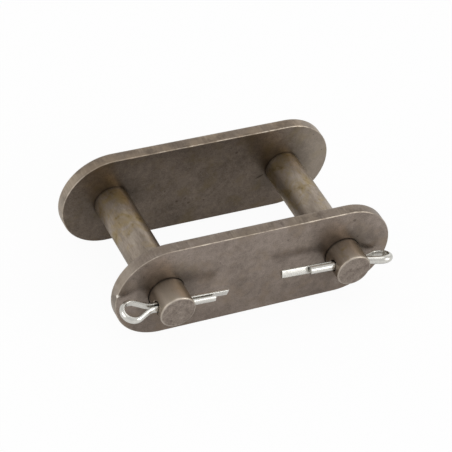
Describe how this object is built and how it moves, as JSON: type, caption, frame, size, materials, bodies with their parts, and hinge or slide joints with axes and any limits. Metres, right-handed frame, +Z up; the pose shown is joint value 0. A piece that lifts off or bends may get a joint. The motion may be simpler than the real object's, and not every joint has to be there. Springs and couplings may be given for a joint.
{
  "type": "chain connecting link",
  "caption": "Cottered connecting link of a steel roller chain: two obround plates joined by two round pins, the loose cover plate kept on by split cotters.",
  "frame": {"origin": "halfway between the axes of the two pins and halfway between the facing sides of the two plates, at half the plates' height", "axes": "+X along the pitch line from the left pin to the right pin, -Y along the pins towards their free ends, +Z up across the plates"},
  "size_m": [0.0647, 0.0398, 0.0228],
  "materials": {
    "plate_steel": "dull grey-brown mill finish, finely mottled",
    "pin_steel": "ground steel, slightly stained golden brown by heat",
    "zinc_wire": "bright zinc plating"
  },
  "bodies": {
    "pin_link": {"pin_link_plate": "plate_steel", "left_pin": "pin_steel", "right_pin": "pin_steel"},
    "cover": {"cover_plate": "plate_steel"},
    "left_cotter": {"left_cotter": "zinc_wire"},
    "right_cotter": {"right_cotter": "zinc_wire"}
  },
  "joints": [
    {"name": "cover_slide", "type": "slide", "parent": "pin_link", "child": "cover", "axis": [0, -1, 0], "range_m": [-0.0267, 0.0006]},
    {"name": "left_cotter_pull", "type": "slide", "parent": "pin_link", "child": "left_cotter", "axis": [-0.9987, 0, 0.0506], "range_m": [0, 0.0166]},
    {"name": "right_cotter_pull", "type": "slide", "parent": "pin_link", "child": "right_cotter", "axis": [0.9984, 0, -0.0558], "range_m": [0, 0.02]}
  ]
}
